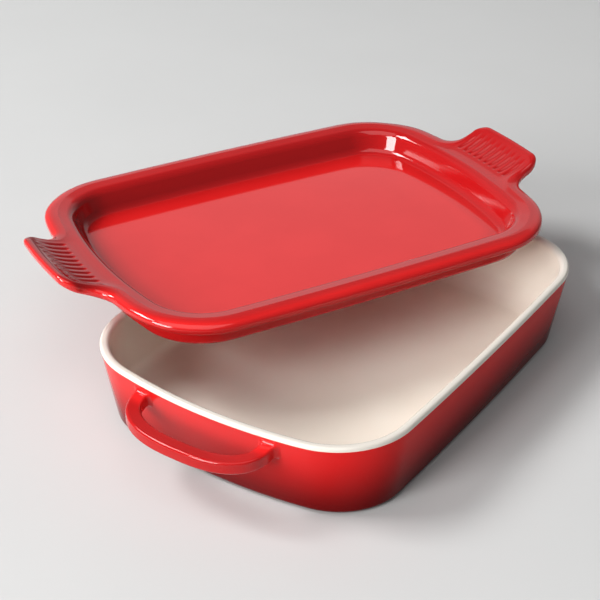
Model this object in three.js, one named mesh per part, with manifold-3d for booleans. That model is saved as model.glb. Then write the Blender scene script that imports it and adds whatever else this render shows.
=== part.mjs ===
// Lidded baking dish in glazed stoneware: a drafted rectangular dish with bowed ends and a loop
// handle at each end, a pale glaze lining, and a lid that is a shallow tray with two scooped grips.
// Millimetres, +Z up. Origin: middle of the dish's flat underside. X runs along the dish.
// The lid lies level across the rim, turned and shifted, as when it is set down askew.

import * as THREE from 'three';
import Module from 'manifold-3d';

// Dish
const rimLength = 316; // over the bowed ends
const rimWidth = 216; // over the long sides
const dishHeight = 54.5;
const rimCorner = 53; // plan radius of the corners
const endBow = 326; // plan radius of the bowed ends
const sideBow = 3560; // plan radius of the nearly straight sides
const endDraft = 12; // lean of each end from rim to base
const sideDraft = 7.2; // lean of each long side
const wall = 6;
const floor = 6;
const baseRound = 4;
const rimRound = 2.4;
const wellFillet = 14; // between the dish's wall and floor, inside

// Pale glaze lining, a coat over the inside and the rim
const liningThickness = 1;
const liningLip = 2.6; // how far the coat comes down outside the rim
const coatGap = 0.3; // between the coat and the red body

// Loop handles
const loopReach = 25.7; // beyond the rim's end
const loopSpan = 89.5; // between the middles of the two arms
const strapWidth = 9;
const strapHeight = 8.3;
const loopDrop = 6.2; // rim to the top of the arms
const loopDip = 4.2; // arms to the outer bar
const rootFlare = 0.35; // growth of the strap where it runs into the wall
const flareLength = 10;
const loopRoundness = 2.6; // power of the oval that the loop follows in plan
const squareness = 4; // power of the oval that its section follows

// Lid
const overhang = 3.6; // flange beyond the dish's rim
const plugClearance = 3.2; // between the lid's plug and the dish's mouth
const plugDepth = 14.8;
const plugRound = 4;
const flangeThickness = 7.7;
const flangeRound = 9; // how far the flange's top edge rolls over
const rollHeight = 4.5;
const undersideRound = 2.2;
const landWidth = 18.9; // flange edge to the tray's wall
const trayDepth = 17.2;
const trayLean = 5.5; // lean of the tray's wall from top to floor
const trayEdgeRound = 4.4;
const trayFillet = 4.4;

// Scooped grips at the lid's ends
const gripReach = 24.8; // beyond the flange's end
const gripWidth = 70.5;
const gripRise = 13.8;
const scoopLead = 13; // how far inside the flange's end the scoop begins
const gripTipRadius = 11;
const gripRootRadius = 15.5;
const gripRound = 3.2;
const grooveCount = 10;
const groovePitch = 5.9;
const grooveRadius = 1.9;
const grooveDepth = 1.1;
const grooveMargin = 7.5; // from the grip's tip to the grooves' ends
const grooveLead = 3.6; // how far inside the flange's end the grooves begin
const grooveRunOut = 0.3; // how far a groove's ends lift off the scoop

// How the lid lies on the rim
const lidTurn = -25.75; // degrees about +Z
const lidShiftX = 45.9;
const lidShiftY = 70.3;
const seatGap = 0.3; // lid to rim

const wasm = await Module();
wasm.setup();

// Steps along the curves
const endSteps = 5;
const cornerSteps = 8;
const sideSteps = 3;
const roundSteps = 3;
const gripSteps = 4;
const rootSteps = 5;
const shoulderSteps = 2;
const undersideSteps = 3;
const landSteps = 4;
const loopSteps = 26;
const loopSides = 12;
const grooveSteps = 6;
const grooveSides = 8;

// A closed solid skinned over rings of equal count, with a fan closing the first and last ring.
function loft(rings) {
  const count = rings[0].length;
  const sumOf = (points) => points.reduce((sum, p) => sum.add(p), new THREE.Vector3());
  const middle = (points) => sumOf(points).divideScalar(count);
  const points = [...rings.flat(), middle(rings[0]), middle(rings.at(-1))];
  const firstCap = rings.length * count;
  const lastRing = (rings.length - 1) * count;
  const index = [];
  for (let i = 0; i < count; i++) {
    const next = (i + 1) % count;
    index.push(firstCap, next, i, firstCap + 1, lastRing + i, lastRing + next);
    for (let low = 0; low < lastRing; low += count) {
      const high = low + count;
      index.push(low + i, low + next, high + next, low + i, high + next, high + i);
    }
  }
  return new THREE.BufferGeometry().setFromPoints(points).setIndex(index);
}

// Boolean work: geometry with shared vertices to a solid, and back.
function solid(geometry) {
  return new wasm.Manifold(new wasm.Mesh({
    numProp: 3,
    vertProperties: new Float32Array(geometry.attributes.position.array),
    triVerts: new Uint32Array(geometry.index.array),
  }));
}
function geometryOf(manifold) {
  const { vertProperties, triVerts } = manifold.getMesh();
  const geometry = new THREE.BufferGeometry();
  geometry.setAttribute('position', new THREE.BufferAttribute(vertProperties, 3));
  geometry.setIndex(new THREE.BufferAttribute(triVerts, 1));
  return geometry;
}

// A section line of [inset, z, round] corners, each rounded by a curve that starts `round` before it.
function roundedLine(corners) {
  const at = corners.map(([inset, z]) => new THREE.Vector2(inset, z));
  return corners.flatMap(([, , round], i) => {
    if (!round) return [at[i]];
    const towards = (other) => at[i].clone().add(other.clone().sub(at[i]).setLength(round));
    const bend = new THREE.QuadraticBezierCurve(towards(at[i - 1]), at[i], towards(at[i + 1]));
    return bend.getPoints(roundSteps);
  });
}

// Plan outlines. A sample holds a point, its outward normal and the roll of the edge there.
const polar = (angle) => new THREE.Vector2(Math.cos(angle), Math.sin(angle));
function arcSamples(centre, radius, from, to, steps, { hollow = false, rolls = [0, 0] } = {}) {
  return Array.from({ length: steps }, (_, i) => {
    const out = polar(THREE.MathUtils.lerp(from, to, i / steps));
    return {
      point: centre.clone().addScaledVector(out, radius),
      normal: hollow ? out.negate() : out,
      roll: THREE.MathUtils.lerp(rolls[0], rolls[1], i / steps),
    };
  });
}

// Centres and angles of three tangent arcs, bowed end, corner and side, in the first quarter.
function threeArcs(halfLength, halfWidth, corner, endRadius, sideRadius) {
  const end = new THREE.Vector2(halfLength - endRadius, 0);
  const side = new THREE.Vector2(0, halfWidth - sideRadius);
  const apart = end.distanceTo(side);
  const along = ((endRadius - corner) ** 2 - (sideRadius - corner) ** 2 + apart ** 2) / (2 * apart);
  const across = Math.sqrt((endRadius - corner) ** 2 - along ** 2);
  const axis = side.clone().sub(end).normalize();
  const square = new THREE.Vector2(-axis.y, axis.x);
  const middle = end.clone().addScaledVector(axis, along).addScaledVector(square, across);
  const endAngle = middle.clone().sub(end).angle();
  const sideAngle = middle.clone().sub(side).angle();
  return { end, side, middle, endAngle, sideAngle, corner, endRadius, sideRadius };
}
function cornerAndSide(arcs, rolls) {
  const quarterTurn = Math.PI / 2;
  return [
    ...arcSamples(arcs.middle, arcs.corner, arcs.endAngle, arcs.sideAngle, cornerSteps, { rolls }),
    ...arcSamples(arcs.side, arcs.sideRadius, arcs.sideAngle, quarterTurn, sideSteps, { rolls }),
    ...arcSamples(arcs.side, arcs.sideRadius, quarterTurn, quarterTurn, 1, { rolls }),
  ];
}

// The whole outline from the samples of its first quarter.
function mirrored(quarter) {
  const flip = (list, x, y) => list.map(({ point, normal, roll }) => {
    const sign = new THREE.Vector2(x, y);
    return { point: point.clone().multiply(sign), normal: normal.clone().multiply(sign), roll };
  });
  const back = quarter.slice(0, -1).reverse();
  return [
    ...quarter,
    ...flip(back, -1, 1),
    ...flip(quarter.slice(1), -1, -1),
    ...flip(back.slice(0, -1), 1, -1),
  ];
}
function ring(outline, inset, height) {
  return outline.map((sample) => {
    const { x, y } = sample.point.clone().addScaledVector(sample.normal, -inset(sample));
    return new THREE.Vector3(x, y, height(x, y));
  });
}
const evenRing = (outline, inset, z) => ring(outline, () => inset, () => z);

// The dish's outer outline at a height: it leans in towards the base.
function dishOutline(z) {
  const lean = 1 - z / dishHeight;
  const halfLength = rimLength / 2 - endDraft * lean;
  const halfWidth = rimWidth / 2 - sideDraft * lean;
  const arcs = threeArcs(halfLength, halfWidth, rimCorner - sideDraft * lean, endBow, sideBow);
  const bow = arcSamples(arcs.end, endBow, 0, arcs.endAngle, endSteps);
  return mirrored([...bow, ...cornerAndSide(arcs)]);
}
const dishRings = (line) => line.map(({ x, y }) => evenRing(dishOutline(y), x, y));

// Section from the lip outside the rim, over it and down to the floor, sunk below the glazed surface.
function wellLine(sunk, lipHeight) {
  const top = dishHeight - sunk;
  const bottom = floor - sunk;
  const round = rimRound - sunk / 2;
  return roundedLine([
    [sunk, lipHeight],
    [sunk, top, round],
    [wall - sunk, top, round],
    [wall - sunk, bottom, wellFillet + sunk],
    [wall + wellFillet, bottom],
  ]).slice(0, -1);
}

const lipHeight = dishHeight - liningLip;
const bodySunk = liningThickness + coatGap;
const tub = loft(dishRings([
  ...roundedLine([[baseRound * 2, 0], [0, 0, baseRound], [0, lipHeight - coatGap]]).slice(1),
  ...wellLine(bodySunk, lipHeight - coatGap),
]));
const lining = loft(dishRings([
  ...wellLine(liningThickness, lipHeight).reverse(),
  ...wellLine(0, lipHeight),
]));

// A tube of a squarish section along a line, whose section keeps upright.
function strapAlong(line, steps, width, height, sides, grow) {
  const power = (value) => Math.sign(value) * Math.abs(value) ** (2 / squareness);
  return loft(Array.from({ length: steps + 1 }, (_, i) => {
    const middle = line.getPointAt(i / steps);
    const tangent = line.getTangentAt(i / steps);
    const across = new THREE.Vector3(0, 0, 1).cross(tangent).normalize();
    const up = tangent.clone().cross(across);
    const size = 1 + grow(i / steps);
    return Array.from({ length: sides }, (_, k) => {
      const { x, y } = polar((k + 0.5) * 2 * Math.PI / sides);
      const point = middle.clone().addScaledVector(across, power(x) * size * width / 2);
      return point.addScaledVector(up, power(y) * size * height / 2);
    });
  }));
}

// Middle line of a loop: a squarish half oval that leaves the wall square and dips to its outer bar.
class LoopLine extends THREE.Curve {
  constructor(end) {
    super();
    this.end = end;
  }
  getPoint(t, target = new THREE.Vector3()) {
    const rootHeight = dishHeight - loopDrop - strapHeight / 2;
    const leanAtRoot = endDraft * (1 - rootHeight / dishHeight);
    const bowAtRoot = (loopSpan / 2) ** 2 / (2 * endBow);
    const root = rimLength / 2 - leanAtRoot - bowAtRoot - (wall - bodySunk) / 2;
    const reach = rimLength / 2 + loopReach - strapWidth / 2 - root;
    const angle = Math.PI * (t - 0.5);
    const out = Math.max(Math.cos(angle), 0) ** (2 / loopRoundness);
    const sway = Math.sign(t - 0.5) * Math.abs(Math.sin(angle)) ** (2 / loopRoundness);
    const x = root + reach * out;
    return target.set(this.end * x, this.end * sway * loopSpan / 2, rootHeight - loopDip * out);
  }
}
function loopHandle(end) {
  const line = new LoopLine(end);
  const fromRoot = (t) => Math.min(t, 1 - t) * line.getLength();
  const flare = (t) => rootFlare * Math.max(0, 1 - fromRoot(t) / flareLength) ** 2;
  return strapAlong(line, loopSteps, strapWidth, strapHeight, loopSides, flare);
}
const body = geometryOf(solid(tub).add(solid(loopHandle(1))).add(solid(loopHandle(-1))));

// Lid: the plain flange outline, and the same outline with a grip drawn out at each end.
const flangeArcs = threeArcs(
  rimLength / 2 + overhang,
  rimWidth / 2 + overhang,
  rimCorner + overhang,
  endBow + overhang,
  sideBow + overhang,
);
const flangeRolls = [flangeRound, flangeRound];
function grippedQuarter() {
  const { end, endRadius, endAngle } = flangeArcs;
  const halfGrip = gripWidth / 2;
  const tipRadius = endRadius + gripReach;
  const tangentTo = (reach, y) => new THREE.Vector2(end.x + Math.sqrt(reach ** 2 - y ** 2), y);
  const tipCorner = tangentTo(tipRadius - gripTipRadius, halfGrip - gripTipRadius);
  const rootCorner = tangentTo(endRadius + gripRootRadius, halfGrip + gripRootRadius);
  const tipAngle = tipCorner.clone().sub(end).angle();
  const rootAngle = rootCorner.clone().sub(end).angle();
  const grip = { rolls: [gripRound, gripRound] };
  const root = { hollow: true, rolls: [gripRound, flangeRound] };
  return [
    ...arcSamples(end, tipRadius, 0, tipAngle, gripSteps, grip),
    ...arcSamples(tipCorner, gripTipRadius, tipAngle, Math.PI / 2, gripSteps, grip),
    ...arcSamples(tipCorner, gripTipRadius, Math.PI / 2, Math.PI / 2, 1, grip),
    ...arcSamples(rootCorner, gripRootRadius, 1.5 * Math.PI, Math.PI + rootAngle, rootSteps, root),
    ...arcSamples(end, endRadius, rootAngle, endAngle, shoulderSteps, { rolls: flangeRolls }),
    ...cornerAndSide(flangeArcs, flangeRolls),
  ];
}
// The plain outline has a sample in line with each sample of the gripped one.
function plainQuarter(gripped) {
  const { end, endRadius, endAngle } = flangeArcs;
  return gripped.map((sample) => {
    const angle = sample.point.clone().sub(end).angle();
    return angle < endAngle ? arcSamples(end, endRadius, angle, angle, 1)[0] : sample;
  });
}
const quarter = grippedQuarter();
const gripped = mirrored(quarter);
const plain = mirrored(plainQuarter(quarter));

// Rise of the grips above the flange: nothing inside the scoop's start, then an even curve to the tip.
function scoop(x, y) {
  const { end, endRadius } = flangeArcs;
  const beyond = Math.hypot(Math.abs(x) - end.x, y) - endRadius + scoopLead;
  return gripRise * (Math.max(beyond, 0) / (gripReach + scoopLead)) ** 2;
}
function between(from, to, steps, z) {
  return Array.from({ length: steps }, (_, j) => from.map((start, i) => {
    const point = start.clone().lerp(to[i], (j + 1) / steps);
    return point.setZ(z + scoop(point.x, point.y));
  }));
}

const lidHeight = plugDepth + flangeThickness;
const plugInset = overhang + wall + plugClearance;
function lidRings() {
  const plugLine = roundedLine([
    [plugInset + plugRound * 2, 0],
    [plugInset, 0, plugRound],
    [plugInset, plugDepth],
  ]);
  const plug = plugLine.slice(1).map(({ x, y }) => evenRing(plain, x, y));
  const edge = Array.from({ length: roundSteps + 1 }, (_, i) => polar(i / roundSteps * Math.PI / 2));
  const underside = edge.map(({ x, y }) => {
    const lift = plugDepth + undersideRound * (1 - x);
    return ring(gripped, () => undersideRound * (1 - y), (px, py) => lift + scoop(px, py));
  });
  const roll = edge.map(({ x, y }) => {
    const lift = lidHeight - rollHeight * (1 - y);
    return ring(gripped, (sample) => sample.roll * (1 - x), (px, py) => lift + scoop(px, py));
  });
  const trayFloor = lidHeight - trayDepth;
  const trayLine = roundedLine([
    [0, lidHeight],
    [landWidth, lidHeight, trayEdgeRound],
    [landWidth + trayLean, trayFloor, trayFillet],
    [landWidth + trayLean + trayFillet * 2, trayFloor],
  ]).slice(1, -1);
  const tray = trayLine.map(({ x, y }) => evenRing(plain, x, y));
  return [
    ...plug,
    ...between(plug.at(-1), underside[0], undersideSteps, plugDepth),
    ...underside.slice(1),
    ...roll,
    ...between(roll.at(-1), tray[0], landSteps, lidHeight),
    ...tray.slice(1),
  ];
}

// A finger groove along a grip's scoop. It runs out to nothing at both ends.
class GrooveLine extends THREE.Curve {
  constructor(end, y) {
    super();
    Object.assign(this, { end, y });
  }
  getPoint(t, target = new THREE.Vector3()) {
    const { end, endRadius } = flangeArcs;
    const start = end.x + Math.sqrt(endRadius ** 2 - this.y ** 2) - grooveLead;
    const x = start + t * (grooveLead + gripReach - grooveMargin);
    const cut = grooveDepth * Math.sqrt(Math.max(Math.sin(Math.PI * t), 0)) - grooveRunOut;
    return target.set(this.end * x, this.y, lidHeight + scoop(x, this.y) + grooveRadius - cut);
  }
}
let lidSolid = solid(loft(lidRings()));
for (const end of [1, -1]) {
  for (let i = 0; i < grooveCount; i++) {
    const line = new GrooveLine(end, (i - (grooveCount - 1) / 2) * groovePitch);
    const bore = 2 * grooveRadius;
    const cutter = strapAlong(line, grooveSteps, bore, bore, grooveSides, () => 0);
    lidSolid = lidSolid.subtract(solid(cutter));
  }
}

const redGlaze = new THREE.MeshStandardMaterial({ color: 0xc4161c, roughness: 0.18, metalness: 0 });
const paleGlaze = new THREE.MeshStandardMaterial({ color: 0xe6d9c8, roughness: 0.2, metalness: 0 });

const bakingDish = new THREE.Group();
function addPiece(name, geometry, material) {
  const mesh = new THREE.Mesh(geometry, material);
  mesh.name = name;
  bakingDish.add(mesh);
  return mesh;
}
addPiece('dish_body', body, redGlaze);
addPiece('dish_lining', lining, paleGlaze);
const lid = addPiece('lid', geometryOf(lidSolid), redGlaze);
lid.position.set(lidShiftX, lidShiftY, dishHeight + seatGap);
lid.rotation.z = THREE.MathUtils.degToRad(lidTurn);

export default bakingDish;
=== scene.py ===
import math

import bmesh
import bpy
from mathutils import Matrix, Vector


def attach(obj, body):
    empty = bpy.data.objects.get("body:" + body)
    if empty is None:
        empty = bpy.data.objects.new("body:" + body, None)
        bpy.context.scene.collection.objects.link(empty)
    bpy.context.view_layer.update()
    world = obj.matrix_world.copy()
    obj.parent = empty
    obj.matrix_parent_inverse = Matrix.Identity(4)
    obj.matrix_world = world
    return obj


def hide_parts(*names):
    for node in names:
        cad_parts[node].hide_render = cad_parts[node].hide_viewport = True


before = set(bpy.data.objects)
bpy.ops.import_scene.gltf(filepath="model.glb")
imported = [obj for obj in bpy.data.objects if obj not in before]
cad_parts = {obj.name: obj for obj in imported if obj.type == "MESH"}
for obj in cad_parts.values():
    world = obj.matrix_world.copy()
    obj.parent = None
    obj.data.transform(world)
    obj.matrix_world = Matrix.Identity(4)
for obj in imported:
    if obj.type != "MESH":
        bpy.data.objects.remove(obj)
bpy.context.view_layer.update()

# Sizes in metres: the dish
RIM_LENGTH = 0.316
RIM_WIDTH = 0.21597
DISH_HEIGHT = 0.0545
RIM_CORNER = 0.053
END_BOW = 0.326
SIDE_BOW = 3.56
END_DRAFT = 0.012
SIDE_DRAFT = 0.0072
WALL = 0.006
FLOOR = 0.006
BASE_ROUND = 0.004
RIM_ROUND = 0.0024
WELL_FILLET = 0.014
PALE_LIP = 0.0026
LINING_COAT = 0.001
RED_BODY = 0.0038

# Its loop handles
LOOP_REACH = 0.0256
LOOP_SPAN = 0.0895
STRAP_WIDTH = 0.009
STRAP_HEIGHT = 0.0083
STRAP_EDGE = 0.0017
LOOP_DROP = 0.0062
LOOP_DIP = 0.0042
LOOP_ROUNDNESS = 2.6
ROOT_FILLET = 0.0033
ROOT_LEAN = 0.012
ROOT_SINK = 0.0002

# The lid: plug, flange, land and tray
OVERHANG = 0.0034
PLUG_CLEARANCE = 0.0032
PLUG_INSET = OVERHANG + WALL + PLUG_CLEARANCE
PLUG_DEPTH = 0.0148
PLUG_ROUND = 0.004
PLUG_NECK = 0.0015
NECK_RUN = 0.002
FLANGE = 0.0077
FLANGE_ROLL = 0.009
ROLL_HEIGHT = 0.0045
UNDERSIDE_ROUND = 0.0022
LAND = 0.0189
LAND_FALL = math.radians(8.5)
LAND_RUN = 0.01
TRAY_DEPTH = 0.0172
TRAY_LEAN = 0.0055
TRAY_EDGE = 0.0044
TRAY_FILLET = 0.0044
LID_HEIGHT = PLUG_DEPTH + FLANGE

# The lid's grips and their grooves; a share of 1 is a grip's whole reach
GRIP_REACH = 0.0248
GRIP_WIDTH = 0.0705
GRIP_RISE = 0.01378
SCOOP_LEAD = 0.013
GRIP_TIP = 0.011
GRIP_ROOT = 0.0155
GRIP_ROLL = 0.0032
ROLL_SHARE = 0.5
TIP_ROLL = 0.0058
TIP_SHARE = 0.32
RIBS = 10
RIB_PITCH = 0.0059
RIB_GROOVE = 0.0036
RIB_DEPTH = 0.001
RIB_MARGIN = 0.0068
RIB_LEAD = 0.0036
RUN_IN = 0.15
RUN_OUT = 0.5

# Where the lid lies on the rim
SEAT_GAP = 0.0003
LID_TURN = math.radians(-25.75)
LID_PLACE = (0.0459, 0.0703, DISH_HEIGHT + SEAT_GAP)

# Fineness of the meshes
END_STEPS, CORNER_STEPS, SIDE_STEPS = 16, 20, 10
TIP_STEPS, TIP_CORNER_STEPS, ROOT_STEPS, LID_END_STEPS = 76, 14, 18, 8
GRIP_STEPS = TIP_STEPS + TIP_CORNER_STEPS + 1 + ROOT_STEPS
GRIP_LINES = ((0.0, 0.0), (0.375, 0.38), (0.64, 0.56), (0.80, 0.68), (1.0, 1.0))
LOOP_SAMPLES, FILLET_STEPS, BAR_STEPS = 2000, 7, 56
PLUG_STEPS, UNDER_ROWS, ROLL_STEPS, LAND_ROWS, TRAY_STEPS = 7, 14, 9, 40, 14
CAP_RING = 0.003
CAP_CORNERS = 8
SPECK = 0.001
SMOOTH_BELOW = math.radians(50)
ORIGIN = (0, 0, 0)


# Handwork

def select_only(piece):
    bpy.ops.object.select_all(action="DESELECT")
    piece.select_set(True)
    bpy.context.view_layer.objects.active = piece


def begin(name):
    """A new, empty piece, open for editing."""
    if bpy.context.object and bpy.context.object.mode == "EDIT":
        bpy.ops.object.mode_set(mode="OBJECT")
    bpy.ops.object.select_all(action="DESELECT")
    bpy.ops.mesh.primitive_circle_add(vertices=3, radius=SPECK)
    piece = bpy.context.object
    piece.name = piece.data.name = name
    bpy.ops.object.mode_set(mode="EDIT")
    bpy.ops.mesh.delete(type="VERT")
    return piece


def close():
    bpy.ops.object.mode_set(mode="OBJECT")


def pick(kind, test):
    """Selects the edges or faces of the open piece that the test takes."""
    bpy.ops.mesh.select_mode(type=kind)
    bpy.ops.mesh.select_all(action="DESELECT")
    mesh = bpy.context.object.data
    work = bmesh.from_edit_mesh(mesh)
    for part in work.edges if kind == "EDGE" else work.faces:
        if test(part):
            part.select_set(True)
    work.select_flush_mode()
    bmesh.update_edit_mesh(mesh)


def finish_with(piece, kind, **settings):
    """Adds a modifier and applies it."""
    select_only(piece)
    bpy.ops.object.modifier_add(type=kind)
    modifier = piece.modifiers[-1]
    for key, value in settings.items():
        setattr(modifier, key, value)
    bpy.ops.object.modifier_apply(modifier=modifier.name)


def chosen_points():
    work = bmesh.from_edit_mesh(bpy.context.object.data)
    return [v.co.copy() for v in work.verts if v.select]


def start_line(x, y, z):
    """One vertex to draw a line from."""
    bpy.ops.mesh.select_mode(type="VERT")
    bpy.ops.mesh.primitive_circle_add(vertices=3, radius=SPECK, location=(x, y, z))
    bpy.ops.mesh.merge(type="CENTER")


def turn_about(centre, angle, steps):
    """Draws the chosen vertex on round a centre, anticlockwise from above."""
    z = chosen_points()[0].z
    bpy.ops.mesh.spin(steps=steps, angle=angle, center=(centre.x, centre.y, z), axis=(0, 0, -1))


def mirror_quarter(piece):
    """The drawn quarter line, mirrored to the whole outline."""
    close()
    finish_with(piece, "MIRROR", use_axis=(True, True, False), merge_threshold=1e-6)
    bpy.ops.object.mode_set(mode="EDIT")


def face_outwards():
    bpy.ops.mesh.select_all(action="SELECT")
    bpy.ops.mesh.normals_make_consistent(inside=False)


def travelled(line):
    """The way covered at each point of a line."""
    way = [0.0]
    for a, b in zip(line, line[1:]):
        way.append(way[-1] + (b - a).length)
    return way


def eased(share):
    """0 to 1 with a soft start and end."""
    share = min(max(share, 0.0), 1.0)
    return share * share * (3 - 2 * share)


def bowed_arcs(half_length, half_width, corner, bow, side):
    """Centres and angles of a quarter outline's tangent arcs: bowed end, corner, long side."""
    end = Vector((half_length - bow, 0))
    flank = Vector((0, half_width - side))
    apart = (flank - end).length
    along = ((bow - corner) ** 2 - (side - corner) ** 2 + apart ** 2) / (2 * apart)
    across = math.sqrt((bow - corner) ** 2 - along ** 2)
    axis = (flank - end) / apart
    middle = end + axis * along + Vector((-axis.y, axis.x)) * across
    end_angle = math.atan2(middle.y - end.y, middle.x - end.x)
    flank_angle = math.atan2(middle.y - flank.y, middle.x - flank.x)
    return end, middle, flank, end_angle, flank_angle


# Dish

def make_dish():
    """The whole dish as one form, cut at the lip into the red outside and the pale lining."""
    dish = begin("dish_lining_glaze")
    end, middle, flank, end_angle, flank_angle = bowed_arcs(
        RIM_LENGTH / 2, RIM_WIDTH / 2, RIM_CORNER, END_BOW, SIDE_BOW)
    start_line(RIM_LENGTH / 2, 0, DISH_HEIGHT)
    turn_about(end, end_angle, END_STEPS)
    turn_about(middle, flank_angle - end_angle, CORNER_STEPS)
    turn_about(flank, math.pi / 2 - flank_angle, SIDE_STEPS)
    mirror_quarter(dish)

    # The outside, down to the rounded base
    bpy.ops.mesh.select_all(action="SELECT")
    bpy.ops.mesh.edge_face_add()
    face_down()
    sink(DISH_HEIGHT, 1)
    bpy.ops.mesh.region_to_loop()
    bpy.ops.mesh.bevel(offset=BASE_ROUND, segments=6, affect="EDGES")
    pick("FACE", is_cap)
    bpy.ops.mesh.inset(thickness=CAP_RING)

    # The rim and the well
    bpy.ops.mesh.select_mode(type="EDGE")
    bpy.ops.mesh.select_all(action="DESELECT")
    bpy.ops.mesh.select_non_manifold()
    bpy.ops.mesh.edge_face_add()
    pick("FACE", lambda face: is_cap(face) and face.calc_center_median().z > FLOOR)
    bpy.ops.mesh.inset(thickness=WALL)
    sink(DISH_HEIGHT - FLOOR, -1)
    bpy.ops.mesh.region_to_loop()
    bpy.ops.mesh.bevel(offset=WELL_FILLET, segments=14, affect="EDGES")
    pick("FACE", is_well_floor)
    bpy.ops.mesh.inset(thickness=CAP_RING)
    pick("EDGE", is_rim_edge)
    bpy.ops.mesh.bevel(offset=RIM_ROUND, segments=7, affect="EDGES")
    face_outwards()

    # The cut between the two glazes
    bpy.ops.mesh.bisect(plane_co=(0, 0, DISH_HEIGHT - PALE_LIP), plane_no=(0, 0, 1))
    pick("FACE", outside_below_lip)
    bpy.ops.mesh.separate(type="SELECTED")
    close()
    shell = next(o for o in bpy.context.selected_objects if o != dish)
    shell.name = shell.data.name = "dish_shell"
    finish_with(dish, "SOLIDIFY", thickness=LINING_COAT, offset=-1, use_even_offset=True)
    finish_with(shell, "SOLIDIFY", thickness=RED_BODY, offset=-1, use_even_offset=True)
    return shell, dish


def face_down():
    work = bmesh.from_edit_mesh(bpy.context.object.data)
    if next(face for face in work.faces if face.select).normal.z > 0:
        bpy.ops.mesh.flip_normals()


def sink(depth, way):
    """Draws the chosen face away from the rim by depth, drafted in as the dish is."""
    before = max(p.x for p in chosen_points())
    lean = depth / DISH_HEIGHT
    bpy.ops.mesh.inset(thickness=SIDE_DRAFT * lean, depth=depth * way)
    pulled = before - SIDE_DRAFT * lean
    narrower = (before - END_DRAFT * lean) / pulled
    bpy.ops.transform.resize(value=(narrower, 1, 1), center_override=ORIGIN)


def is_cap(face):
    """A flat face that fills a whole outline."""
    return len(face.verts) > CAP_CORNERS


def is_well_floor(face):
    return is_cap(face) and face.normal.z * face.calc_center_median().z > 0.001


def is_rim_edge(edge):
    at_rim = min(v.co.z for v in edge.verts) > DISH_HEIGHT - 1e-5
    return at_rim and edge.calc_face_angle(0) > 1


def outside_below_lip(face):
    centre = face.calc_center_median()
    faces_out = face.normal.xy.dot(centre.xy) > 0 or face.normal.z < -0.5
    return faces_out and face.normal.z < 0.3 and centre.z < DISH_HEIGHT - PALE_LIP


# Loop handles

def wall_face(y, z):
    """Where the dish's outer end face lies at a place across and a height."""
    return RIM_LENGTH / 2 - END_DRAFT * (1 - z / DISH_HEIGHT) - y * y / (2 * END_BOW)


def loop_stations():
    """Points along the middle of a loop, from wall to wall: close together in the root fillets."""
    top = DISH_HEIGHT - LOOP_DROP - STRAP_HEIGHT / 2
    root = wall_face(LOOP_SPAN / 2, top)
    reach = RIM_LENGTH / 2 + LOOP_REACH - STRAP_WIDTH / 2 - root
    power = 2 / LOOP_ROUNDNESS
    line = []
    for i in range(LOOP_SAMPLES + 1):
        angle = math.pi * (i / LOOP_SAMPLES - 0.5)
        out = max(math.cos(angle), 0) ** power
        side = math.copysign(abs(math.sin(angle)) ** power, angle)
        line.append(Vector((root + reach * out, side * LOOP_SPAN / 2, top - LOOP_DIP * out)))
    travel = travelled(line)
    length = travel[-1]
    fillet = [ROOT_FILLET * (1 - math.cos(math.pi / 2 * k / FILLET_STEPS))
              for k in range(FILLET_STEPS + 1)]
    bar = [ROOT_FILLET + (length - 2 * ROOT_FILLET) * k / BAR_STEPS for k in range(1, BAR_STEPS)]
    stops = fillet + bar + [length - s for s in reversed(fillet)]
    points = []
    at = 0
    for stop in stops:
        while at < len(travel) - 2 and travel[at + 1] < stop:
            at += 1
        share = (stop - travel[at]) / (travel[at + 1] - travel[at])
        points.append(line[at].lerp(line[at + 1], min(max(share, 0), 1)))
    return points, stops, length


def root_swell(from_root):
    """How far a strap's faces stand out in the fillet at its root."""
    if from_root >= ROOT_FILLET:
        return 0.0
    return ROOT_FILLET - math.sqrt(ROOT_FILLET ** 2 - (ROOT_FILLET - from_root) ** 2)


def make_loop():
    """One loop handle: a rounded strap drawn out of the wall, round and back into it."""
    loop = begin("loop_handle")
    points, stops, length = loop_stations()
    last = len(points) - 1
    bpy.ops.mesh.select_mode(type="FACE")
    bpy.ops.mesh.primitive_plane_add(size=1, location=ORIGIN)
    bpy.ops.transform.resize(value=(STRAP_HEIGHT, STRAP_WIDTH, 1), center_override=ORIGIN)
    bpy.ops.mesh.bevel(offset=STRAP_EDGE, segments=5, affect="VERTICES")
    bpy.ops.transform.rotate(value=math.pi / 2, orient_axis="Y", center_override=ORIGIN)
    bpy.ops.transform.translate(value=points[0])
    heading = 0.0
    size = 1.0
    for i, point in enumerate(points):
        if i:
            step = point - points[i - 1]
            bpy.ops.mesh.extrude_region_move(TRANSFORM_OT_translate={"value": step})
        ahead = points[min(i + 1, last)] - points[max(i - 1, 0)]
        turned = math.atan2(ahead.y, ahead.x)
        if i in (0, last):
            turned = math.pi if i else 0.0
        bpy.ops.transform.rotate(value=heading - turned, orient_axis="Z", center_override=point)
        heading = turned
        swell = 1 + root_swell(min(stops[i], length - stops[i])) / (STRAP_HEIGHT / 2)
        bpy.ops.transform.resize(value=(swell / size,) * 3, center_override=point)
        size = swell
    lay_roots_on_wall(loop, points[0].x)
    face_outwards()
    close()
    return loop


def lay_roots_on_wall(loop, root):
    """Leans a loop's roots to the bowed, drafted wall, and sets them just into it."""
    work = bmesh.from_edit_mesh(loop.data)
    for v in work.verts:
        near = min(max(1 - (v.co.x - root) / ROOT_LEAN, 0.0), 1.0)
        lean = wall_face(v.co.y, v.co.z) - root
        v.co.x += lean * near ** 2 - ROOT_SINK * near
    bmesh.update_edit_mesh(loop.data)


# Lid

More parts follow.
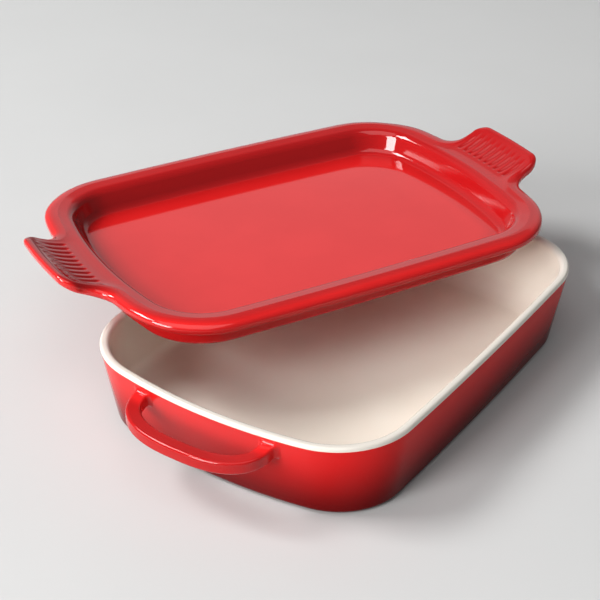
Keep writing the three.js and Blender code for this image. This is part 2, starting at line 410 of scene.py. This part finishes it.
def draw_lid_outlines():
    """The lid's outline with its grips, and the same with the grips pressed back into its ends."""
    guide = begin("lid_outline")
    bow = END_BOW + OVERHANG
    end, middle, flank, end_angle, flank_angle = bowed_arcs(
        RIM_LENGTH / 2 + OVERHANG, RIM_WIDTH / 2 + OVERHANG, RIM_CORNER + OVERHANG,
        bow, SIDE_BOW + OVERHANG)
    tip_y = GRIP_WIDTH / 2 - GRIP_TIP
    root_y = GRIP_WIDTH / 2 + GRIP_ROOT
    tip = Vector((end.x + math.sqrt((bow + GRIP_REACH - GRIP_TIP) ** 2 - tip_y ** 2), tip_y))
    root = Vector((end.x + math.sqrt((bow + GRIP_ROOT) ** 2 - root_y ** 2), root_y))
    tip_angle = math.atan2(tip.y, tip.x - end.x)
    root_angle = math.atan2(root.y, root.x - end.x)
    start_line(end.x + bow + GRIP_REACH, 0, 0)
    turn_about(end, tip_angle, TIP_STEPS)
    turn_about(tip, math.pi / 2 - tip_angle, TIP_CORNER_STEPS)
    bpy.ops.mesh.extrude_region_move(TRANSFORM_OT_translate={"value": (root.x - tip.x, 0, 0)})
    turn_about(root, root_angle - math.pi / 2, ROOT_STEPS)
    turn_about(end, end_angle - root_angle, LID_END_STEPS)
    turn_about(middle, flank_angle - end_angle, CORNER_STEPS)
    turn_about(flank, math.pi / 2 - flank_angle, SIDE_STEPS)
    mirror_quarter(guide)
    close()
    gripped = in_order(guide)
    bpy.data.objects.remove(guide)
    quarter = len(gripped) // 4
    travel = travelled(gripped[:quarter + 1])
    plain = []
    for i, p in enumerate(gripped):
        step = abs((i + quarter) % (2 * quarter) - quarter)
        if step < GRIP_STEPS:
            share = held_back(travel[step] / travel[GRIP_STEPS])
            angle = math.copysign(root_angle * share, p.y)
            pressed = math.copysign(end.x + bow * math.cos(angle), p.x)
            p = Vector((pressed, bow * math.sin(angle)))
        plain.append(p.copy())
    return gripped, plain, end, bow


def held_back(share):
    """The share of the bowed end that meets a share of a grip's outline.

    The lines from a grip's sides then run inwards, and the faces there don't fold.
    """
    for (low, to_low), (high, to_high) in zip(GRIP_LINES, GRIP_LINES[1:]):
        if share <= high:
            return to_low + (to_high - to_low) * (share - low) / (high - low)
    return 1.0


def in_order(guide):
    """The points of a closed line, anticlockwise from its furthest point along X."""
    work = bmesh.new()
    work.from_mesh(guide.data)
    last = max(work.verts, key=lambda v: v.co.x)
    here = max((e.other_vert(last) for e in last.link_edges), key=lambda v: v.co.y)
    first, line = last, [last.co.xy.copy()]
    while here != first:
        line.append(here.co.xy.copy())
        beside = [e.other_vert(here) for e in here.link_edges]
        last, here = here, next(v for v in beside if v != last)
    work.free()
    return line


def outward(line):
    """The outward direction at each point of a closed line."""
    count = len(line)
    ways = []
    for i in range(count):
        along = (line[(i + 1) % count] - line[i - 1]).normalized()
        ways.append(Vector((along.y, -along.x)))
    return ways


def rounded(corners, steps):
    """A section line of (inset, height, round) corners; an arc starts `round` before its corner."""
    line = []
    for i, (inset, height, size) in enumerate(corners):
        corner = Vector((inset, height))
        if not size:
            line.append(corner)
            continue
        before = (Vector(corners[i - 1][:2]) - corner).normalized()
        after = (Vector(corners[i + 1][:2]) - corner).normalized()
        half = before.angle(after) / 2
        inward = (before + after).normalized()
        middle = corner + inward * size / math.cos(half)
        radius = size * math.tan(half)
        across = (before - inward * before.dot(inward)).normalized()
        sweep = math.pi / 2 - half
        for k in range(steps + 1):
            swing = sweep * (1 - 2 * k / steps)
            line.append(middle + (across * math.sin(swing) - inward * math.cos(swing)) * radius)
    return line


def lid_rings():
    """Rings of points from the middle of the plug over the flange and into the tray."""
    gripped, plain, end, bow = draw_lid_outlines()
    grip_out, plain_out = outward(gripped), outward(plain)
    for i, p in enumerate(plain):
        spoke = Vector((math.copysign(abs(p.x) - end.x, p.x), p.y))
        if abs(spoke.length - bow) < 1e-6:
            plain_out[i] = spoke.normalized()

    def beyond(p):
        """How far a point lies past the bowed end."""
        return math.hypot(abs(p.x) - end.x, p.y) - bow

    def scoop(p):
        share = max(beyond(p) + SCOOP_LEAD, 0) / (GRIP_REACH + SCOOP_LEAD)
        return GRIP_RISE * share ** 2

    def groove(p):
        along = (beyond(p) + RIB_LEAD) / (GRIP_REACH - RIB_MARGIN + RIB_LEAD)
        row = p.y / RIB_PITCH + (RIBS - 1) / 2
        nearest = min(max(round(row), 0), RIBS - 1)
        off = abs(row - nearest) * RIB_PITCH / (RIB_GROOVE / 2)
        if not 0 < along < 1 or off >= 1:
            return 0.0
        run_in = min(along / RUN_IN, 1)
        depth = RIB_DEPTH * (1 - off ** 2) ** 2
        return depth * run_in * (2 - run_in) * eased((1 - along) / RUN_OUT)

    def roll(i):
        """How far the upper edge's round reaches in."""
        out = beyond(gripped[i]) / GRIP_REACH
        return (FLANGE_ROLL + (GRIP_ROLL - FLANGE_ROLL) * eased(out / ROLL_SHARE)
                + (TIP_ROLL - GRIP_ROLL) * eased((out - 1 + TIP_SHARE) / TIP_SHARE))

    def even(inset, height):
        return [(p - out * inset).to_3d() + Vector((0, 0, height))
                for p, out in zip(plain, plain_out)]

    def edge(inset_of, height):
        ring = []
        for i, (p, out) in enumerate(zip(gripped, grip_out)):
            p = p - out * inset_of(i)
            ring.append(Vector((p.x, p.y, height + scoop(p))))
        return ring

    def lower_edge(a):
        return edge(lambda i: UNDERSIDE_ROUND * (1 - math.sin(a)),
                    PLUG_DEPTH + UNDERSIDE_ROUND * (1 - math.cos(a)))

    def upper_edge(a):
        return edge(lambda i: roll(i) * (1 - math.cos(a)),
                    LID_HEIGHT - ROLL_HEIGHT * (1 - math.sin(a)))

    def rows(start, stop, steps, height, dip=0.0, grooved=False):
        made = []
        for k in range(1, steps):
            row = []
            for a, b in zip(start, stop):
                p = a.lerp(b, k / steps).xy
                cut = groove(p) if grooved else 0.0
                row.append(Vector((p.x, p.y, height - dip * k / steps + scoop(p) - cut)))
            made.append(row)
        return made

    plug = [even(p.x, p.y) for p in rounded([
        (PLUG_INSET + PLUG_ROUND + CAP_RING, 0, 0),
        (PLUG_INSET, 0, PLUG_ROUND),
        (PLUG_INSET, PLUG_DEPTH, PLUG_NECK),
        (PLUG_INSET - NECK_RUN, PLUG_DEPTH, 0)], PLUG_STEPS)]
    swings = [math.pi / 2 * k / ROLL_STEPS for k in range(ROLL_STEPS + 1)]
    under = [lower_edge(a) for a in swings]
    over = [upper_edge(a) for a in swings]
    land_end = LAND - TRAY_EDGE * math.cos(LAND_FALL)
    dip = (land_end - FLANGE_ROLL) * math.tan(LAND_FALL)
    brink = LID_HEIGHT - dip - TRAY_EDGE * math.sin(LAND_FALL)
    tray_floor = LID_HEIGHT - TRAY_DEPTH
    tray = [even(p.x, p.y) for p in rounded([
        (LAND - LAND_RUN, brink + LAND_RUN * math.tan(LAND_FALL), 0),
        (LAND, brink, TRAY_EDGE),
        (LAND + TRAY_LEAN, tray_floor, TRAY_FILLET),
        (LAND + TRAY_LEAN + TRAY_FILLET + CAP_RING, tray_floor, 0)], TRAY_STEPS)[1:]]
    return (plug + rows(plug[-1], under[0], UNDER_ROWS, PLUG_DEPTH) + under + over
            + rows(over[-1], tray[0], LAND_ROWS, LID_HEIGHT, dip, True) + tray)


def make_lid():
    """The lid, drawn up ring by ring from its plug."""
    rings = lid_rings()
    lid = begin("lid_tray")
    bpy.ops.mesh.select_mode(type="FACE")
    bpy.ops.mesh.primitive_circle_add(vertices=len(rings[0]), radius=0.1, fill_type="NGON")
    place = Matrix.Translation(LID_PLACE) @ Matrix.Rotation(LID_TURN, 4, "Z")
    settle(lid, rings[0], place)
    for ring in rings[1:]:
        bpy.ops.mesh.extrude_region_move()
        settle(lid, ring, place)
    face_outwards()
    close()
    return lid


def settle(piece, ring, place):
    """Puts the corners of the chosen face at a ring's points."""
    work = bmesh.from_edit_mesh(piece.data)
    face = next(face for face in work.faces if face.select)
    for corner, point in zip(face.loops, ring):
        corner.vert.co = place @ point
    bmesh.update_edit_mesh(piece.data)


shell, lining = make_dish()
near_loop = make_loop()
select_only(near_loop)
bpy.ops.object.duplicate()
far_loop = bpy.context.object
bpy.ops.object.mode_set(mode="EDIT")
bpy.ops.mesh.select_all(action="SELECT")
bpy.ops.transform.rotate(value=math.pi, orient_axis="Z", center_override=ORIGIN)
close()
select_only(shell)
near_loop.select_set(True)
far_loop.select_set(True)
bpy.ops.object.join()
lid = make_lid()

for piece in (shell, lining, lid):
    select_only(piece)
    bpy.ops.object.shade_smooth_by_angle(angle=SMOOTH_BELOW)
    finish_with(piece, "WEIGHTED_NORMAL", keep_sharp=True, weight=80)

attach(shell, "dish")
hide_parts("dish_body")
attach(lining, "dish")
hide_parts("dish_lining")
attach(lid, "lid")
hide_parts("lid")


# Finishes

RED = (0.655, 0.012, 0.012, 1)
RED_DRIFT = (0.68, 0.014, 0.014, 1)
# The dish's red at its foot: partly the glaze's own darker base, partly painted shade.
RED_FOOT_TONE_AND_SHADE = (0.12, 0.0016, 0.002, 1)
# The lid's deeper red: partly the glaze's own tone, partly painted shade.
RED_LID_TONE_AND_SHADE = (0.38, 0.006, 0.007, 1)
PALE = (0.85, 0.78, 0.68, 1)
PALE_DRIFT = (0.88, 0.815, 0.72, 1)
# A greyer cream for the rim top: painted shade.
PALE_RIM_SHADE = (0.7, 0.65, 0.585, 1)
DRIFT_RANGE = (0.35, 0.65)
GLOSS_RANGE = (0.3, 0.7)
WAVES_PER_METRE = 60.0
SPECKS_PER_METRE = 900.0
WAVE_HEIGHT = 0.0004
SPECK_SHARE = 0.04


class Wire:
    """A socket of a material: sums on it add Math nodes, and add() makes any other node."""

    def __init__(self, tree, socket=None):
        self.tree = tree
        self.socket = socket

    def add(self, kind, settings=None, sockets=None, out=0):
        node = self.tree.nodes.new(kind)
        for key, value in (settings or {}).items():
            setattr(node, key, value)
        for key, value in (sockets or {}).items():
            if isinstance(value, Wire):
                self.tree.links.new(value.socket, node.inputs[key])
            else:
                node.inputs[key].default_value = value
        return Wire(self.tree, node.outputs[out]) if len(node.outputs) else None

    def sum(self, operation, a, b):
        return self.add("ShaderNodeMath", {"operation": operation}, {0: a, 1: b})

    def vector(self, operation, a, b=ORIGIN, out=0):
        return self.add("ShaderNodeVectorMath", {"operation": operation}, {0: a, 1: b}, out)

    def part(self, axis):
        """One of a vector's three numbers."""
        return self.add("ShaderNodeSeparateXYZ", {}, {0: self}, "XYZ".index(axis))

    def __add__(self, other):
        return self.sum("ADD", self, other)

    def __radd__(self, other):
        return self.sum("ADD", other, self)

    def __sub__(self, other):
        return self.sum("SUBTRACT", self, other)

    def __rsub__(self, other):
        return self.sum("SUBTRACT", other, self)

    def __mul__(self, other):
        return self.sum("MULTIPLY", self, other)

    def __rmul__(self, other):
        return self.sum("MULTIPLY", other, self)

    def blend(self, low, high):
        """A colour between two, by this value."""
        return self.add("ShaderNodeMix", {"data_type": "RGBA"}, {0: self, 6: low, 7: high}, out=2)

    def spread(self, low, high, to_low=0.0, to_high=1.0):
        """This value, eased from one range to another."""
        return self.add("ShaderNodeMapRange", {"interpolation_type": "SMOOTHSTEP"},
                        {0: self, 1: low, 2: high, 3: to_low, 4: to_high})


def new_finish(name):
    """An empty material, and the place on the piece that its patterns follow."""
    material = bpy.data.materials.new(name)
    material.use_nodes = True
    material.node_tree.nodes.clear()
    wire = Wire(material.node_tree)
    place = wire.add("ShaderNodeTexCoord", out=3)
    return material, wire, place


def cloud(place, scale, detail=3.0):
    return place.add("ShaderNodeTexNoise", {}, {"Vector": place, "Scale": scale, "Detail": detail})


def glaze(wire, place, fine, colour, rough, waviness, **fixed):
    """A glassy fired glaze: colour and roughness that vary, over a slightly wavy surface."""
    bump = wire.add("ShaderNodeBump", {}, {
        "Strength": waviness, "Distance": WAVE_HEIGHT,
        "Height": cloud(place, WAVES_PER_METRE, 1.0) + SPECK_SHARE * fine})
    shader = wire.add("ShaderNodeBsdfPrincipled", {}, {
        "Base Color": colour, "Roughness": rough, "Normal": bump, "IOR": 1.5, **fixed})
    wire.add("ShaderNodeOutputMaterial", {}, {0: shader})


def past_tray_floor(wire, from_middle):
    """How far a place on the lid lies outside the tray's bowed, round-cornered floor."""
    spot = wire.add("ShaderNodeVectorRotate", {"rotation_type": "Z_AXIS"},
                    {"Vector": from_middle, "Angle": -LID_TURN})
    along = wire.vector("ABSOLUTE", spot)
    x, y = along.part("X"), along.part("Y")
    margin = LAND + TRAY_LEAN + TRAY_FILLET - OVERHANG
    corner = RIM_CORNER - margin
    bowed = x + y * y * (0.5 / END_BOW)
    past_x = wire.sum("MAXIMUM", bowed - (RIM_LENGTH / 2 - margin - corner), 0.0)
    past_y = wire.sum("MAXIMUM", y - (RIM_WIDTH / 2 - margin - corner), 0.0)
    return wire.sum("POWER", past_x * past_x + past_y * past_y, 0.5) - corner


def lid_zones(wire, place, height):
    """Where the lid's red deepens, and where its glaze is thick and glassy.

    It deepens on the land, grips and tray walls, partly the glaze's own tone and partly painted
    shade that is stronger on sloped faces than on flat tops, and on the lower outer sides as
    painted shade; only the lower sides aren't glassy.
    """
    facing = wire.add("ShaderNodeNewGeometry", out=1)
    from_middle = wire.vector("SUBTRACT", place, (*LID_PLACE[:2], 0))
    past = past_tray_floor(wire, from_middle)
    spoke = wire.vector("NORMALIZE", wire.vector("MULTIPLY", from_middle, (1, 1, 0)))
    faces_out = wire.vector("DOT_PRODUCT", spoke, facing, out=1)
    level_top = facing.part("Z").spread(0.9, 1.0)
    # Land, grips and tray walls: partly the glaze's own deeper tone, partly painted shade.
    inner = past.spread(-0.016, 0.004) * faces_out.spread(0.03, 0.4, 1.0, 0.0)
    brow = LID_PLACE[2] + LID_HEIGHT - ROLL_HEIGHT
    outer = faces_out.spread(0.1, 0.5)
    # Painted shade on the lid's lower outer sides.
    side = outer * height.spread(brow - 0.001, brow + 0.004, 0.75, 0.0)
    # Sloped faces deepen more than flat tops: painted shade.
    tone_and_shade = inner * (1 - 0.3 * level_top) + side
    return tone_and_shade, 1 - outer * height.spread(brow - 0.002, brow + 0.002, 1.0, 0.0)


def dish_zones(wire, place, height):
    """Where the dish's red deepens and where it is glassy: towards its foot, partly the glaze's own
    darker base and partly painted shade, and on the loops as painted shade.
    """
    reach = wire.sum("ABSOLUTE", place.part("X"), 0.0)
    # Painted shade on the loops.
    loops = reach.spread(0.159, 0.166, 0.0, 0.45)
    # Darker towards the foot: partly the glaze's own tone, partly painted shade.
    foot_tone_and_shade = height.spread(0.0, 0.053, 1.0, 0.0)
    return wire.sum("MAXIMUM", foot_tone_and_shade, loops), reach.spread(0.14, 0.16, 0.0, 0.6)


def red_glaze(name, zones, tone_and_shade_red, shine):
    """Red glaze deepened by the zones' mask: partly the glaze's own tone, partly painted shade."""
    material, wire, place = new_finish(name)
    drift = cloud(place, 22.0)
    fine = cloud(place, SPECKS_PER_METRE, 2.0)
    tone_and_shade, glassy = zones(wire, place, place.part("Z"))
    # Painted shade, mixed with the glaze's own deeper tone, darkens the red by the zones' mask.
    colour = tone_and_shade.blend(drift.spread(*DRIFT_RANGE).blend(RED, RED_DRIFT), tone_and_shade_red)
    rough = 0.08 + 0.02 * drift.spread(*GLOSS_RANGE) + 0.02 * fine
    glaze(wire, place, fine, colour, rough, 0.1, **{
        "Specular IOR Level": shine, "Coat Weight": glassy, "Coat Roughness": 0.06})
    return material


def pale_glaze(name):
    """Cream glaze, with painted shade that makes the rim slightly greyer."""
    material, wire, place = new_finish(name)
    drift = cloud(place, 16.0)
    fine = cloud(place, SPECKS_PER_METRE, 2.0)
    # Painted shade on the rim top.
    rim_shade = place.part("Z").spread(DISH_HEIGHT - 0.004, DISH_HEIGHT)
    colour = rim_shade.blend(drift.spread(*DRIFT_RANGE).blend(PALE, PALE_DRIFT), PALE_RIM_SHADE)
    rough = 0.09 + 0.06 * drift.spread(*GLOSS_RANGE) + 0.03 * fine
    glaze(wire, place, fine, colour, rough, 0.25)
    return material


def coat(piece, material):
    piece.data.materials.clear()
    piece.data.materials.append(material)


coat(shell, red_glaze("red_glaze_dish", dish_zones, RED_FOOT_TONE_AND_SHADE, 0.06))
coat(lid, red_glaze("red_glaze_lid", lid_zones, RED_LID_TONE_AND_SHADE, 0.15))
coat(lining, pale_glaze("pale_glaze"))


# Floor

FLOOR_SIZE = 8
FLOOR_GREY = (0.565, 0.565, 0.56, 1)
FLOOR_DRIFT = (0.59, 0.59, 0.585, 1)
FLOOR_GLOW = (0.66, 0.66, 0.65, 1)
GLOW_SHARE = 0.02

bpy.ops.object.select_all(action="DESELECT")
bpy.ops.mesh.primitive_plane_add(size=FLOOR_SIZE, location=ORIGIN)
floor = bpy.context.object
floor.name = "floor"
stone, wire, place = new_finish("pale_floor")
shade = cloud(place, 9.0).blend(FLOOR_GREY, FLOOR_DRIFT)
matt = wire.add("ShaderNodeBsdfDiffuse", {}, {"Color": shade})
# Painted light: the floor glows a little for camera rays only, which lifts its shadows.
glow = wire.add("ShaderNodeEmission", {}, {"Color": FLOOR_GLOW})
lift = GLOW_SHARE * wire.add("ShaderNodeLightPath", out=0)
top = wire.add("ShaderNodeMixShader", {}, {0: lift, 1: matt, 2: glow})
wire.add("ShaderNodeOutputMaterial", {}, {0: top})
coat(floor, stone)


# Light: a dim room with two paler walls, and three soft lamps

ROOM_LEVEL = 0.11
ROOM_TINT = (0.96, 0.98, 1.0, 1)
BACKDROP = (0.73, 0.73, 0.725, 1)
LAMP_AIM = Vector((0.02, 0.03, 0.05))
LAMP_DISTANCE = 3.5


def band(value, low, high, soft):
    """1 between two values and 0 outside, with soft ends."""
    return value.spread(low - soft, low + soft) * value.spread(high - soft, high + soft, 1.0, 0.0)


world = bpy.data.worlds.new("studio")
bpy.context.scene.world = world
world.use_nodes = True
world.node_tree.nodes.clear()
wire = Wire(world.node_tree)
look = wire.add("ShaderNodeTexCoord", out=0)
rise = look.part("Z")
turn = wire.sum("ARCTAN2", look.part("Y"), look.part("X"))
far_wall = band(turn, low=-0.1, high=0.8, soft=0.3) * (
    0.37 * band(rise, low=0.05, high=0.42, soft=0.03)
    + 0.35 * band(rise, low=0.42, high=0.56, soft=0.012)
    + 0.06 * band(rise, low=0.56, high=0.85, soft=0.03))
side_wall = (0.2 * band(turn, low=0.65, high=1.75, soft=0.2)
             * band(rise, low=0.05, high=0.72, soft=0.05))
level = ROOM_LEVEL + far_wall + side_wall
seen = wire.add("ShaderNodeLightPath", out=0)
room = wire.add("ShaderNodeBackground", {}, {"Color": ROOM_TINT, "Strength": level})
backdrop = wire.add("ShaderNodeBackground", {}, {"Color": BACKDROP, "Strength": 1.0})
both = wire.add("ShaderNodeMixShader", {}, {0: seen, 1: room, 2: backdrop})
wire.add("ShaderNodeOutputWorld", {}, {0: both})


def direction(azimuth, elevation):
    turn, climb = math.radians(azimuth), math.radians(elevation)
    flat = math.cos(climb)
    return Vector((math.cos(turn) * flat, math.sin(turn) * flat, math.sin(climb)))


def lamp(name, azimuth, elevation, width, height, power):
    """A soft rectangular lamp that faces the dish from a direction in degrees."""
    way = direction(azimuth, elevation)
    bpy.ops.object.light_add(type="AREA", location=LAMP_AIM + way * LAMP_DISTANCE)
    light = bpy.context.object
    light.name = light.data.name = name
    light.data.shape = "RECTANGLE"
    light.data.size = width
    light.data.size_y = height
    light.data.energy = power
    light.rotation_euler = way.to_track_quat("Z", "Y").to_euler()


lamp("window", azimuth=168.5, elevation=20, width=1.35, height=1.9, power=122.0)
lamp("softbox", azimuth=124, elevation=47, width=1.5, height=1.2, power=98.0)
lamp("ceiling_panel", azimuth=196, elevation=66, width=3.2, height=3.2, power=37.0)


# Camera

CAMERA_TURN = math.radians(-57.363)
CAMERA_CLIMB = math.radians(30.786)
CAMERA_ROLL = math.radians(1.4586)
CAMERA_BACK, CAMERA_RIGHT, CAMERA_UP = 0.97589, -0.028508, 0.04286
CAMERA_AIM = Vector((0, 0, 0.0015))

back = Vector((math.sin(CAMERA_TURN) * math.cos(CAMERA_CLIMB),
               -math.cos(CAMERA_TURN) * math.cos(CAMERA_CLIMB), math.sin(CAMERA_CLIMB)))
level_right = Vector((math.cos(CAMERA_TURN), math.sin(CAMERA_TURN), 0))
level_up = back.cross(level_right)
right = level_right * math.cos(CAMERA_ROLL) + level_up * math.sin(CAMERA_ROLL)
up = level_up * math.cos(CAMERA_ROLL) - level_right * math.sin(CAMERA_ROLL)
eye = back * CAMERA_BACK + right * CAMERA_RIGHT + up * CAMERA_UP + CAMERA_AIM
bpy.ops.object.camera_add()
camera = bpy.context.object
camera.name = "camera"
camera.matrix_world = Matrix((
    (right.x, up.x, back.x, eye.x),
    (right.y, up.y, back.y, eye.y),
    (right.z, up.z, back.z, eye.z),
    (0, 0, 0, 1)))
camera.data.sensor_fit = "HORIZONTAL"
camera.data.sensor_width = 36
camera.data.lens = 88.24
camera.data.clip_end = 20
bpy.context.scene.camera = camera
bpy.context.scene.view_settings.view_transform = "Standard"
